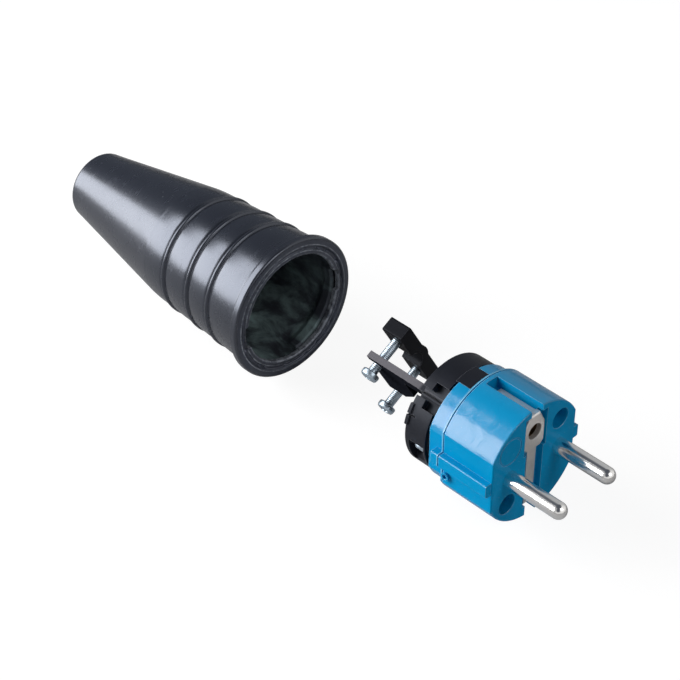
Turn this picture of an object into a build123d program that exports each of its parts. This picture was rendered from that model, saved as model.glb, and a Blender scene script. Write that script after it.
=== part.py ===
"""Earthed two-pin mains plug with its rubber hood drawn off along the plug's axis.

Millimetres.  X runs along the plug, out of the pin tips; Y runs along the pin line; Z is up, from the
pin line to the earth hole.  The origin is the centre of the face that the pins stand out of.
"""
import math
import os

from build123d import *

# Contact pins
PIN_D = 4.8
PIN_PITCH = 19.0
PIN_OUT = 19.0
PIN_STEM_D = 4.0        # thinner stem inside the body, behind the pin's shoulder
PIN_FIT = 0.02          # radial play between a metal part and the moulding that holds it

# Front body, the part that goes into the outlet
BODY_R = 18.0
BODY_LEN = 17.9
FLAT_Y = 16.0           # half the width across the side flats
FACE_ROUND = 0.4
KEY_Y = 18.0            # side keys stand this far from the axis
KEY_W = 4.0
KEY_ROOT = 1.0          # depth of the keys inside the body
KEY_ROUND = 0.5
KEY_BACK = 2.0          # how far the keys reach past the body's back edge
COLLAR_R = 16.8
COLLAR_LEN = 4.8
COLLAR_FLAT = 15.5      # half the width across the collar's flats
RIM_W = 0.5             # back rim, set off from the body by the parting groove
PARTING_W = 0.3
PARTING_DEEP = 0.5
PIP_R = 1.3
PIP_H = 0.9
PIP_HOLE_R = 0.75
PIP_BACK = 2.2
PIP_Z = 5.2

# Assembly screws, deep in the face
SCREW_Y = 9.6
SCREW_Z = 9.0
SCREW_HOLE_R = 3.0
SCREW_HOLE_DEEP = 13.0
MOUTH_CUT = 0.15
SCREW_R = 1.45
SCREW_HEAD_R = 2.6
SCREW_HEAD_H = 1.8
SCREW_END = 0.2         # room at the end of the screw hole
DISC_R = 4.2            # witness ring on the face, beside the earth plate
DISC_W = 0.4
DISC_DEEP = 0.15

# Earth strip and earth socket
EARTH_Z = 10.0
EARTH_HOLE_R = 2.45
STRIP_W = 3.4
STRIP_T = 0.9
STRIP_LEN = 13.0        # length of the strip's two legs
SLOT_W = 4.4
SLOT_BRIDGE = 2.0       # body left closed behind the slots along the top and the bottom
SLOT_FLOOR_Z = 14.4     # floor of the slots along the top and the bottom
FACE_SLOT_W = 6.6
FACE_SLOT_DEEP = 1.9
PLATE_W = 7.8
PLATE_H = 11.6
PLATE_T = 1.5
PLATE_PLAY = 0.25
PLATE_LOW = 6.0         # plate below the earth hole's axis
PLATE_CUT = 1.4         # clipped lower corners of the plate
PLATE_DRAW_W = 2.1      # drawn-in upper corners of the plate, across and up
PLATE_DRAW_H = 3.9
PLATE_BEVEL = 0.35
SOCKET_R = 3.6

# Terminal carrier
CARRIER_R = 16.3
CARRIER_LEN = 8.5
NECK_R = 15.2           # gap between the collar and the drum
NECK_LEN = 1.0
WALL_T = 2.4
WALL_ROUND = 0.6
FLOOR_T = 1.7
BOSS_R = 3.2
BOSS_IN = 1.0           # bosses end this far inside the drum's back
BOSS_END = 1.0          # closed end of a boss behind its screw hole
TAB_TURN = 94.5         # tab of the carrier, let into the collar
TAB_W = 7.4
TAB_T = 2.0
NOTCH_TURN = 132.0      # stepped opening at the tongue's root
NOTCH_W = 7.8
NOTCH_LEN = 4.1
NOTCH_SLOT_W = 3.0
ROOT_R = 12.6           # block behind the notch that the tongue grows from
ROOT_SIDE = 3.8         # its two flat sides, from the axis
ROOT_BACK = 1.4
RIB_TURN = 157.0        # low rib and slit on the drum's back edge
RIB_W = 6.2
RIB_H = 0.5
RIB_LEN = 1.0
SLIT_W = 0.5
SLIT_LEN = 2.6
WINDOW_W = 8.2          # openings at the terminal screws
WINDOW_PLAY = 0.15
TERMINAL_TURN = 45.0
BLOCK_W = 5.8
BLOCK_LEN = 5.0
BLOCK_CUT = 0.5
WIRE_R = 1.6
TERMINAL_SCREW_R = 1.5
TERMINAL_REACH = 2.4
TERMINAL_STAND = 1.4    # unscrewed, the heads at the pins stand this far off their blocks
TERMINAL_HEAD_R = 2.5
TERMINAL_HEAD_H = 2.2

# Cord clamp, turned about the plug's axis
CLAMP_TURN = 30.0
CLAMP_X = -51.3
CLAMP_PITCH = 16.4
CLAMP_W = 7.0
TONGUE_UP = 11.6        # upper edge of the tongue, from the axis
TONGUE_T = 2.0
TONGUE_TOP = -0.6       # side of the tongue that the cord lies on
TONGUE_END = 2.5        # tongue past the screw line
TONGUE_REACH = 9.8      # wide part, in front of the screw line
TONGUE_CUT = 6.0        # slanted corner of the wide part
TONGUE_NECK_W = 4.2
SADDLE_LOW = 5.8
SADDLE_T = 4.4
SADDLE_LEN = 25.4
SADDLE_ROUND = 0.5
ARCH_R = 3.4
ARCH_WALL = 1.6
CLAMP_SCREW_R = 1.4
CLAMP_SCREW_LEN = 14.5
CLAMP_HEAD_R = 2.6
CLAMP_HEAD_H = 2.1
CLAMP_SLOT_PLAY = 0.06
HEAD_GAP_UPPER = 2.4    # the loose screws' heads stand off the tongue
HEAD_GAP_LOWER = 4.3

# Rubber hood, measured back from its mouth
MOUTH_X = -92.0
HOOD_LEN = 91.0
FLANGE_R = 22.4
FLANGE_SIDE = 2.4       # straight side of the flange, then its hollow back to the barrel
FLANGE_LEN = 4.4
FLANGE_ROUND = 0.7
LIP_PLAY = 0.3          # radial room of the lip on the insert's collar
LIP_LEN = 1.7
LIP_W = 1.5             # lip, then the groove between it and the rim
GROOVE_W = 1.2
GROOVE_DEEP = 1.1
CAVITY_DEEP = 1.2       # undercut behind the lip
CAVITY_LEN = 9.0
BARREL_R = 20.6         # at the flange
CREASE_S = 45.5
CREASE_R = 18.5
TAIL_R = 11.2
TAIL_BORE_R = 6.5
TAIL_BORE_LEN = 9.0
TAIL_ROUND = 0.9
HOOD_WALL = 2.3
BEADS = (15.4, 25.0, 36.2)
BEAD_W = 1.3
BEAD_H = 0.5
BAND_BOW = 0.15
KEYWAY_PLAY = 0.8       # room for the insert's side keys in the lip
LEDGE_S = 2.2           # two ledges inside, as deep as the lip
LEDGE_W = 3.4
LEDGE_TURN = 96.0
LEDGE_ROOT = 0.3        # depth of the ledges inside the wall
LEDGE_START = -75.0

BODY_BACK = -BODY_LEN
COLLAR_BACK = BODY_BACK - COLLAR_LEN
DRUM_FRONT = COLLAR_BACK - NECK_LEN
CARRIER_BACK = COLLAR_BACK - CARRIER_LEN
FLOOR_BACK = COLLAR_BACK - FLOOR_T
BOSS_BACK = CARRIER_BACK + BOSS_IN
TERMINAL_X = FLOOR_BACK - BLOCK_LEN / 2
PIN_Y = PIN_PITCH / 2
LIP_R = COLLAR_R + LIP_PLAY
GROOVE_R = LIP_R + LIP_W
RIM_R = GROOVE_R + GROOVE_W
CAVITY_R = LIP_R + CAVITY_DEEP
TONGUE_LOW = CLAMP_PITCH / 2 - CLAMP_SCREW_R - CLAMP_SLOT_PLAY
HALVES = (Rot(0, 0, 0), Rot(180, 0, 0))     # the plug repeats when it is turned half round
BEHIND = (Align.MAX, Align.CENTER, Align.CENTER)    # boxes that reach back from their place
CLAMP_PLANE = Plane(
    origin=(CLAMP_X, 0, 0),
    x_dir=(0, math.sin(math.radians(CLAMP_TURN)), -math.cos(math.radians(CLAMP_TURN))),
    z_dir=(1, 0, 0),
)
TONGUE_PLANE = Plane((CLAMP_PLANE * Pos(0, TONGUE_TOP, 0)).position, x_dir=(1, 0, 0), z_dir=CLAMP_PLANE.y_dir)


def across(x):
    """Plane square to the plug's axis at x, with its own axes along Y and Z."""
    return Plane.YZ.offset(x)


def rod(x0, x1, radius, y=0.0, z=0.0):
    """Round bar along X from x0 to x1."""
    return Pos(min(x0, x1), y, z) * extrude(Plane.YZ * Circle(radius), amount=abs(x1 - x0))


def clamp_rod(t, n0, n1, radius):
    """Round bar along the clamp screws' direction, at t across the clamp, from n0 to n1."""
    base = CLAMP_PLANE * Pos(t, n0, 0) * Rot(-90, 0, 0)
    return base * extrude(Circle(radius), amount=n1 - n0)


def drive_cross(radius, depth):
    """Cross-shaped drive recess, cut down from the plane it lies on."""
    arm = Rectangle(1.5 * radius, 0.32 * radius)
    return extrude(Sketch() + arm + Rot(0, 0, 90) * arm, amount=-depth)


def pan_head(radius, height):
    """Pan screw head standing on its underside, with a rounded crown and a cross recess."""
    head = Cylinder(radius, height, align=(Align.CENTER, Align.CENTER, Align.MIN))
    head = fillet(head.edges().group_by(Axis.Z)[-1], 0.55 * height)
    return head - Pos(0, 0, height) * drive_cross(radius, 0.55 * height)


def body_outline(inset=0.0):
    """Outline of the body across the axis: a circle with two side flats."""
    return Circle(BODY_R - inset) & Rectangle(2 * (FLAT_Y - inset), 2 * BODY_R)


def tab_block(grow=0.0):
    """Block of the collar that the carrier's tab takes up, from the drum to the body's back rim."""
    length = BODY_BACK - DRUM_FRONT
    block = Box(length, TAB_T + grow, TAB_W + 2 * grow, align=(Align.MIN, Align.MAX, Align.CENTER))
    block = Rot(TAB_TURN, 0, 0) * Pos(DRUM_FRONT, COLLAR_R, 0) * block
    return block & rod(DRUM_FRONT, BODY_BACK, COLLAR_R)


def make_front_body():
    """Blue moulding: flat-sided cylinder with keys, collar, earth slots, pin bores and screw holes."""
    body = extrude(across(BODY_BACK) * body_outline(), amount=BODY_LEN)
    body = fillet(body.faces().sort_by(Axis.X)[-1].edges(), FACE_ROUND)
    collar = Circle(COLLAR_R) & Rectangle(2 * COLLAR_FLAT, 2 * COLLAR_R)
    body += extrude(across(COLLAR_BACK) * collar, amount=COLLAR_LEN)
    body -= tab_block(PIN_FIT)
    key_len = BODY_LEN + KEY_BACK - FACE_ROUND
    key = Box(key_len, KEY_Y - FLAT_Y + KEY_ROOT, KEY_W, align=(Align.MIN, Align.MAX, Align.CENTER))
    key = fillet(key.edges().filter_by(Axis.X).group_by(Axis.Y)[-1], KEY_ROUND)
    pip = Cylinder(PIP_R, 2 * PIP_H) - Cylinder(PIP_HOLE_R, 2 * PIP_H)
    slot = Box(BODY_LEN - SLOT_BRIDGE, SLOT_W, BODY_R, align=(Align.MAX, Align.CENTER, Align.MIN))
    for half in HALVES:
        body += half * Pos(BODY_BACK - KEY_BACK, KEY_Y, 0) * key
        body += half * Pos(BODY_BACK + PIP_BACK, FLAT_Y, PIP_Z) * Rot(90, 0, 0) * pip
        body -= half * Pos(0, 0, SLOT_FLOOR_Z) * slot
    core = body_outline(PARTING_DEEP) + Rectangle(2 * (KEY_Y - PARTING_DEEP), KEY_W - 2 * PARTING_DEEP)
    parting = extrude(across(BODY_BACK + RIM_W) * (Circle(BODY_R + KEY_W) - core), amount=PARTING_W)
    body -= parting
    body -= Box(FACE_SLOT_DEEP, FACE_SLOT_W, 2 * SLOT_FLOOR_Z, align=BEHIND)
    pocket = Box(FACE_SLOT_DEEP, PLATE_W + 2 * PLATE_PLAY, PLATE_H + 2 * PLATE_PLAY, align=BEHIND)
    body -= Pos(0, 0, EARTH_Z - PLATE_LOW + PLATE_H / 2) * pocket
    body -= rod(COLLAR_BACK, 0, SOCKET_R + PIN_FIT, 0, EARTH_Z)
    mouth = Rot(0, 90, 0) * Cone(SCREW_HOLE_R, SCREW_HOLE_R + 2 * MOUTH_CUT, 2 * MOUTH_CUT)
    for half in HALVES:
        body -= half * rod(COLLAR_BACK, 0, PIN_STEM_D / 2 + PIN_FIT, PIN_Y)
        body -= half * rod(-SCREW_HOLE_DEEP - SCREW_HEAD_H, 0, SCREW_HOLE_R, SCREW_Y, SCREW_Z)
        body -= half * Pos(0, SCREW_Y, SCREW_Z) * mouth
        body -= half * rod(COLLAR_BACK, 0, SCREW_R + PIN_FIT, SCREW_Y, SCREW_Z)
    ring = (Circle(DISC_R) - Circle(DISC_R - DISC_W)) & Pos(SCREW_Y, -SCREW_Z, 0) * body_outline()
    return body - extrude(across(-DISC_DEEP) * Pos(-SCREW_Y, SCREW_Z, 0) * ring, amount=DISC_DEEP)


def earth_plate_outline():
    """Plate around the earth hole, with its lower corners clipped and its upper ones drawn in."""
    side = PLATE_W / 2
    low = EARTH_Z - PLATE_LOW
    high = low + PLATE_H
    right = [
        (side - PLATE_CUT, low),
        (side, low + PLATE_CUT),
        (side, high - PLATE_DRAW_H),
        (side - PLATE_DRAW_W, high),
    ]
    left = [(-y, z) for y, z in reversed(right)]
    return Polygon(*right, *left, align=None)


def make_earth_strip():
    """Strip bent round the face from the top leg to the bottom leg, with the plate at the earth hole."""
    top = SLOT_FLOOR_Z + STRIP_T
    front = -FACE_SLOT_DEEP + STRIP_T
    outer = Pos(front, 0, 0) * Rectangle(STRIP_LEN, 2 * top, align=(Align.MAX, Align.CENTER))
    inner = Rectangle(STRIP_LEN, 2 * SLOT_FLOOR_Z, align=(Align.MAX, Align.CENTER))
    inner = Pos(-FACE_SLOT_DEEP, 0, 0) * inner
    outer = fillet(outer.vertices().group_by(Axis.X)[-1], 1.2 * STRIP_T)
    strip = extrude(Plane.XZ * (outer - inner), amount=STRIP_W / 2, both=True)
    plate = extrude(across(-FACE_SLOT_DEEP) * earth_plate_outline(), amount=PLATE_T)
    strip += chamfer(plate.faces().sort_by(Axis.X)[-1].edges(), PLATE_BEVEL)
    return strip - rod(-FACE_SLOT_DEEP, 0, EARTH_HOLE_R, 0, EARTH_Z)


def make_earth_socket():
    """Sleeve for the outlet's earth pin, with a square terminal at its back."""
    block_back = FLOOR_BACK - BLOCK_LEN
    sleeve = rod(FLOOR_BACK, -FACE_SLOT_DEEP, SOCKET_R, 0, EARTH_Z)
    block = Box(BLOCK_LEN, BLOCK_W, BLOCK_W, align=(Align.MIN, Align.CENTER, Align.CENTER))
    block = chamfer(block.edges().filter_by(Axis.X), BLOCK_CUT)
    socket = sleeve + Pos(block_back, 0, EARTH_Z) * block
    socket -= rod(COLLAR_BACK, -FACE_SLOT_DEEP, EARTH_HOLE_R, 0, EARTH_Z)
    socket -= Pos(FLOOR_BACK - 0.45 * BLOCK_LEN, 0, EARTH_Z) * Rot(90, 0, 0) * Cylinder(WIRE_R, 2 * BLOCK_W)
    return socket - rod(block_back, block_back + 0.5 * BLOCK_LEN, TERMINAL_SCREW_R + PIN_FIT, 0, EARTH_Z)


def make_terminal_screw(stand=0.0):
    """Terminal screw pointing down from the ground plane under its head, unscrewed by the given stand."""
    head = pan_head(TERMINAL_HEAD_R, TERMINAL_HEAD_H)
    length = TERMINAL_REACH + stand
    return head + Cylinder(TERMINAL_SCREW_R, length, align=(Align.CENTER, Align.CENTER, Align.MAX))


def make_contact_pin():
    """Round pin with a domed tip and a square terminal block with wire hole and screw hole, at Y = 0."""
    radius = PIN_D / 2
    pin = rod(0, PIN_OUT - radius, radius) + Pos(PIN_OUT - radius, 0, 0) * Sphere(radius)
    pin += rod(FLOOR_BACK, 0, PIN_STEM_D / 2)
    block = Box(BLOCK_LEN, BLOCK_W, BLOCK_W, align=BEHIND)
    block = chamfer(block.edges().filter_by(Axis.X), BLOCK_CUT)
    pin += Pos(FLOOR_BACK, 0, 0) * block
    pin -= rod(FLOOR_BACK - BLOCK_LEN, FLOOR_BACK - 0.15 * BLOCK_LEN, WIRE_R)
    hole = Cylinder(TERMINAL_SCREW_R + PIN_FIT, BLOCK_W / 2, align=(Align.CENTER, Align.CENTER, Align.MIN))
    return pin - Pos(TERMINAL_X, 0, 0) * Rot(-90, 0, 0) * hole


def tongue_outline():
    """Tongue seen square to its broad side, X along the plug: a wide part on a narrow neck."""
    wide = Rectangle(TONGUE_END + TONGUE_REACH, TONGUE_UP + TONGUE_LOW, align=(Align.MIN, Align.MIN))
    wide = chamfer(wide.vertices().group_by(Axis.X)[-1].sort_by(Axis.Y)[-1:], TONGUE_CUT)
    neck = Rectangle(FLOOR_BACK - CLAMP_X, TONGUE_NECK_W, align=(Align.MIN, Align.MIN))
    slot = SlotCenterToCenter(4 * TONGUE_END, 2 * CLAMP_SCREW_R + 2 * CLAMP_SLOT_PLAY)
    tongue = Pos(-TONGUE_END, -TONGUE_UP) * wide + Pos(0, -TONGUE_UP) * neck
    return tongue - Pos(-2 * TONGUE_END, -CLAMP_PITCH / 2) * slot


def make_carrier():
    """Black moulding: drum and floor round the terminals, screw bosses, tab and the clamp's tongue."""
    drum = rod(CARRIER_BACK, DRUM_FRONT, CARRIER_R)
    drum = fillet(drum.edges().group_by(Axis.X)[0], WALL_ROUND)
    rib = Box(RIB_LEN, WALL_T, RIB_W, align=(Align.MIN, Align.MAX, Align.CENTER))
    rib = Rot(RIB_TURN, 0, 0) * Pos(CARRIER_BACK, CARRIER_R + RIB_H, 0) * rib
    drum += rib & rod(CARRIER_BACK, DRUM_FRONT, CARRIER_R + RIB_H)
    carrier = drum - rod(CARRIER_BACK, FLOOR_BACK, CARRIER_R - WALL_T)
    carrier += rod(FLOOR_BACK, COLLAR_BACK, NECK_R) + tab_block()
    root = Pos(ROOT_SIDE, ROOT_SIDE, 0) * Rectangle(ROOT_R, ROOT_R, align=(Align.MIN, Align.MIN))
    root_back = CARRIER_BACK + ROOT_BACK
    root = extrude(across(root_back) * (root & Circle(ROOT_R)), amount=FLOOR_BACK - root_back)
    carrier += Rot(90, 0, 0) * root
    depth = 2 * WALL_T
    notch = Box(NOTCH_LEN, depth, NOTCH_W, align=BEHIND)
    notch += Box(CARRIER_LEN, depth, NOTCH_SLOT_W, align=BEHIND)
    carrier -= Rot(NOTCH_TURN, 0, 0) * Pos(DRUM_FRONT, CARRIER_R, 0) * notch
    slit = Box(SLIT_LEN, WALL_T, SLIT_W, align=(Align.MIN, Align.CENTER, Align.CENTER))
    carrier -= Rot(RIB_TURN, 0, 0) * Pos(CARRIER_BACK, CARRIER_R + RIB_H, 0) * slit
    window_len = 2 * TERMINAL_HEAD_R + 2 * WINDOW_PLAY
    window = Box(window_len, CARRIER_R, WINDOW_W, align=(Align.CENTER, Align.MIN, Align.CENTER))
    carrier += extrude(TONGUE_PLANE * tongue_outline(), amount=-TONGUE_T)
    for half in HALVES:
        carrier -= half * Pos(TERMINAL_X, PIN_Y, 0) * Rot(TERMINAL_TURN, 0, 0) * window
        carrier += half * rod(BOSS_BACK, FLOOR_BACK, BOSS_R, SCREW_Y, SCREW_Z) & drum
        carrier -= half * rod(BOSS_BACK + BOSS_END, COLLAR_BACK, SCREW_R + PIN_FIT, SCREW_Y, SCREW_Z)
        carrier -= half * rod(FLOOR_BACK, COLLAR_BACK, PIN_STEM_D / 2 + PIN_FIT, PIN_Y)
    return carrier - rod(FLOOR_BACK, COLLAR_BACK, SOCKET_R + PIN_FIT, 0, EARTH_Z)


def make_saddle():
    """Arched clamp bar with a screw hole in each end."""
    bar = Pos(0, SADDLE_LOW + SADDLE_T / 2, 0) * RectangleRounded(SADDLE_LEN, SADDLE_T, SADDLE_ROUND)
    hump = Pos(0, SADDLE_LOW, 0) * Circle(ARCH_R + ARCH_WALL)
    hump &= Pos(0, SADDLE_LOW, 0) * Rectangle(SADDLE_LEN, SADDLE_LEN, align=(Align.CENTER, Align.MIN))
    profile = bar + hump - Pos(0, SADDLE_LOW - 0.2 * ARCH_R, 0) * Circle(ARCH_R)
    saddle = CLAMP_PLANE * extrude(profile, amount=CLAMP_W / 2, both=True)
    for side in (-1, 1):
        t = side * CLAMP_PITCH / 2
        saddle -= clamp_rod(t, SADDLE_LOW - 1, SADDLE_LOW + SADDLE_T + 1, CLAMP_SCREW_R + PIN_FIT)
    return saddle


def make_clamp_screw(side, head_gap):
    """Pan-head clamp screw through the tongue's slot into the saddle."""
    under = TONGUE_TOP - TONGUE_T - head_gap
    t = side * CLAMP_PITCH / 2
    shank = clamp_rod(t, under, under + CLAMP_SCREW_LEN, CLAMP_SCREW_R)
    head = CLAMP_PLANE * Pos(t, under, 0) * Rot(90, 0, 0) * pan_head(CLAMP_HEAD_R, CLAMP_HEAD_H)
    return shank + head


def make_assembly_screw():
    """Screw that joins the front body to the carrier, on the plug's axis."""
    under = -SCREW_HOLE_DEEP - SCREW_HEAD_H
    head = Pos(under, 0, 0) * Rot(0, 90, 0) * pan_head(SCREW_HEAD_R, SCREW_HEAD_H)
    return rod(BOSS_BACK + BOSS_END + SCREW_END, under, SCREW_R) + head


def barrel_radius(s):
    """Outer radius of the hood's barrel between the flange and the crease."""
    return BARREL_R + (CREASE_R - BARREL_R) * (s - FLANGE_LEN) / (CREASE_S - FLANGE_LEN)


def bowed(start, end, rise):
    """Arc between two points of the hood's section (s, r), standing out by rise at its middle."""
    middle = ((start[0] + end[0]) / 2, (start[1] + end[1]) / 2 + rise)
    return ThreePointArc(start, middle, end)


def hood_outside():
    """Outer edge of the hood's section: flange, bowed bands between half-round beads, cone, tail."""
    neck = (FLANGE_LEN, barrel_radius(FLANGE_LEN))
    brim = (0, FLANGE_R - FLANGE_ROUND)
    crown = (FLANGE_ROUND, FLANGE_R)
    heel = (FLANGE_SIDE, FLANGE_R)
    hollow = (FLANGE_SIDE + 0.3 * (neck[0] - heel[0]), neck[1] + 0.3 * (heel[1] - neck[1]))
    edges = [
        Line((0, RIM_R), brim),
        ThreePointArc(brim, (0.3 * FLANGE_ROUND, FLANGE_R - 0.3 * FLANGE_ROUND), crown),
        Line(crown, heel),
        ThreePointArc(heel, hollow, neck),
    ]
    start = neck
    for s in BEADS:
        rise = (s - BEAD_W / 2, barrel_radius(s - BEAD_W / 2))
        fall = (s + BEAD_W / 2, barrel_radius(s + BEAD_W / 2))
        edges += [bowed(start, rise, BAND_BOW), bowed(rise, fall, BEAD_H)]
        start = fall
    crease = (CREASE_S, CREASE_R)
    brow = (HOOD_LEN - TAIL_ROUND, TAIL_R)
    tail = (HOOD_LEN, TAIL_R - TAIL_ROUND)
    round_mid = (HOOD_LEN - 0.3 * TAIL_ROUND, TAIL_R - 0.3 * TAIL_ROUND)
    edges += [bowed(start, crease, BAND_BOW), Line(crease, brow), ThreePointArc(brow, round_mid, tail)]
    return edges


def hood_inside():
    """Inner edge of the hood's section, from the tail bore to the lip and the groove behind the rim."""
    throat = HOOD_LEN - TAIL_BORE_LEN
    return Polyline(
        (HOOD_LEN, TAIL_R - TAIL_ROUND),
        (HOOD_LEN, TAIL_BORE_R),
        (throat, TAIL_BORE_R),
        (throat - 0.1 * HOOD_LEN, TAIL_BORE_R + 1.4),
        (CREASE_S, CREASE_R - HOOD_WALL),
        (CAVITY_LEN + 1.2, barrel_radius(CAVITY_LEN) - HOOD_WALL),
        (CAVITY_LEN, CAVITY_R),
        (LIP_LEN, CAVITY_R),
        (LIP_LEN, LIP_R),
        (0, LIP_R),
        (0, GROOVE_R),
        (GROOVE_DEEP, GROOVE_R),
        (GROOVE_DEEP, RIM_R),
        (0, RIM_R),
    )


def make_hood():
    """Rubber hood: one revolved section, keyways through the lip and two ledges inside."""
    section = Plane((MOUTH_X, 0, 0), x_dir=(-1, 0, 0), z_dir=(0, 1, 0))
    profile = make_face(Curve() + hood_outside() + hood_inside())
    hood = revolve(section * profile, Axis.X)
    ledge = Rectangle(LEDGE_W, CAVITY_DEEP + LEDGE_ROOT, align=(Align.MIN, Align.MIN))
    ledge = revolve(section * Pos(LEDGE_S, LIP_R, 0) * ledge, Axis.X, -LEDGE_TURN)
    keyway_w = KEY_W + 2 * KEYWAY_PLAY
    keyway = Box(LIP_LEN, KEY_Y + KEYWAY_PLAY, keyway_w, align=(Align.MAX, Align.MIN, Align.CENTER))
    for half in HALVES:
        hood -= half * Pos(MOUTH_X, 0, 0) * keyway
        hood += half * Rot(LEDGE_START, 0, 0) * ledge
    return hood


def main():
    """Builds every piece and writes one STEP file for each."""
    os.makedirs("parts", exist_ok=True)
    pieces = {
        "rubber_hood": make_hood(),
        "front_body": make_front_body(),
        "terminal_carrier": make_carrier(),
        "earth_strip": make_earth_strip(),
        "earth_socket": make_earth_socket(),
        "earth_screw": Pos(FLOOR_BACK - BLOCK_LEN, 0, EARTH_Z) * Rot(0, -90, 0) * make_terminal_screw(),
        "clamp_saddle": make_saddle(),
        "clamp_screw_upper": make_clamp_screw(-1, HEAD_GAP_UPPER),
        "clamp_screw_lower": make_clamp_screw(1, HEAD_GAP_LOWER),
    }
    for half, side, level in zip(HALVES, ("right", "left"), ("upper", "lower")):
        turned = half * Pos(0, PIN_Y, 0) * Rot(TERMINAL_TURN, 0, 0)
        pieces["contact_pin_" + side] = turned * make_contact_pin()
        screw = Rot(-90, 0, 0) * make_terminal_screw(TERMINAL_STAND)
        pieces["terminal_screw_" + side] = turned * Pos(TERMINAL_X, BLOCK_W / 2 + TERMINAL_STAND, 0) * screw
        pieces["assembly_screw_" + level] = half * Pos(0, SCREW_Y, SCREW_Z) * make_assembly_screw()
    for name, piece in pieces.items():
        piece.label = name
        export_step(piece, os.path.join("parts", name + ".step"))


main()
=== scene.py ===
"""Looks of an earthed two-pin mains plug and its rubber hood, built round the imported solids.

Lengths are metres in the plug's own frame: X out of the pin tips, Y along the pin line, Z up to the earth
hole.  Sizes of the hood, the screws and the spring are written in millimetres and scaled once, when their
mesh is made.
"""
import math

import bpy
import numpy as np
from mathutils import Matrix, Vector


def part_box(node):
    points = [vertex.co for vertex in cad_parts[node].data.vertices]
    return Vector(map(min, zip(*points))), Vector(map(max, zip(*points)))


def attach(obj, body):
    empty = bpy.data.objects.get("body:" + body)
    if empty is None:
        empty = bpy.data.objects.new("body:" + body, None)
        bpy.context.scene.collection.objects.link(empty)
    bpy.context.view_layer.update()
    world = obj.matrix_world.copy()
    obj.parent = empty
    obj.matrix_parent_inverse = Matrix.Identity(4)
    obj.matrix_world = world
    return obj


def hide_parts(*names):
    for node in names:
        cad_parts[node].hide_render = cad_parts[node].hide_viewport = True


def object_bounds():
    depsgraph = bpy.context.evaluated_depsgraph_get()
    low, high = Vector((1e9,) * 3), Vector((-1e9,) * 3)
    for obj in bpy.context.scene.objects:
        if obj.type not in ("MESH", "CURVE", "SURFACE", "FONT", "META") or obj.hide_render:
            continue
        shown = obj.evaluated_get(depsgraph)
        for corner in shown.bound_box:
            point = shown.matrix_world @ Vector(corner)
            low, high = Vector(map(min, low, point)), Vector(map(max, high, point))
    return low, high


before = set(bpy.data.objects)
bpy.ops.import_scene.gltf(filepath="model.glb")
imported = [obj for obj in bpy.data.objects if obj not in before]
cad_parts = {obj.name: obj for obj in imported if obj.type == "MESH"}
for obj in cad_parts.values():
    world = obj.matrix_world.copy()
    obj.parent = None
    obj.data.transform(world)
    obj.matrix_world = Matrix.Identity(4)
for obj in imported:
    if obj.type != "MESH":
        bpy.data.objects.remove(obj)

bl_info = {
    "name": "Mains plug with rubber hood",
    "version": (1, 0, 0),
    "blender": (4, 5, 0),
    "location": "3D View > Sidebar > Plug",
    "description": "Builds the rubber hood, screws and finishes of an earthed two-pin plug round its solids",
    "category": "Object",
}

MM = 0.001
CAD_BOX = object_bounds()
HOOD_LOW, HOOD_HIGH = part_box("rubber_hood")
SEED = 11


# Settings

class HoodSettings(bpy.types.PropertyGroup):
    """Sizes and colours of the rubber hood."""

    length: bpy.props.FloatProperty(
        name="Length", description="Hood from its mouth to its tail",
        default=HOOD_HIGH.x - HOOD_LOW.x, min=0.03, unit="LENGTH", precision=4)
    flange_radius: bpy.props.FloatProperty(
        name="Flange radius", description="Outer radius of the rounded flange at the mouth",
        default=22.4 * MM, unit="LENGTH", precision=4)
    lip_radius: bpy.props.FloatProperty(
        name="Lip radius", description="Inner radius of the lip that grips the insert",
        default=17.1 * MM, unit="LENGTH", precision=4)
    tail_radius: bpy.props.FloatProperty(
        name="Tail radius", description="Outer radius of the narrow end",
        default=11.2 * MM, unit="LENGTH", precision=4)
    bead_height: bpy.props.FloatProperty(
        name="Bead height", description="Height of the three raised rings",
        default=0.5 * MM, unit="LENGTH", precision=5)
    rubber: bpy.props.FloatVectorProperty(
        name="Rubber", description="Colour of the outer skin",
        subtype="COLOR", size=3, min=0, max=1, default=(0.0100, 0.0115, 0.0165))
    bloom: bpy.props.FloatVectorProperty(
        name="Dust", description="Colour of the talc and dust inside",
        subtype="COLOR", size=3, min=0, max=1, default=(0.30, 0.42, 0.42))
    gloss: bpy.props.FloatProperty(
        name="Roughness", description="Roughness of the moulded skin",
        subtype="FACTOR", min=0, max=1, default=0.27)


class MouldingSettings(bpy.types.PropertyGroup):
    """Colours of the plastic mouldings."""

    blue: bpy.props.FloatVectorProperty(
        name="Blue", description="Colour of the front body",
        subtype="COLOR", size=3, min=0, max=1, default=(0.0, 0.312, 0.625))
    black: bpy.props.FloatVectorProperty(
        name="Black", description="Colour of the carrier and the clamp bar",
        subtype="COLOR", size=3, min=0, max=1, default=(0.0060, 0.0066, 0.0092))
    edge: bpy.props.FloatProperty(
        name="Edge rounding", description="Radius of the moulded edges",
        default=0.22 * MM, unit="LENGTH", precision=5)


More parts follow.
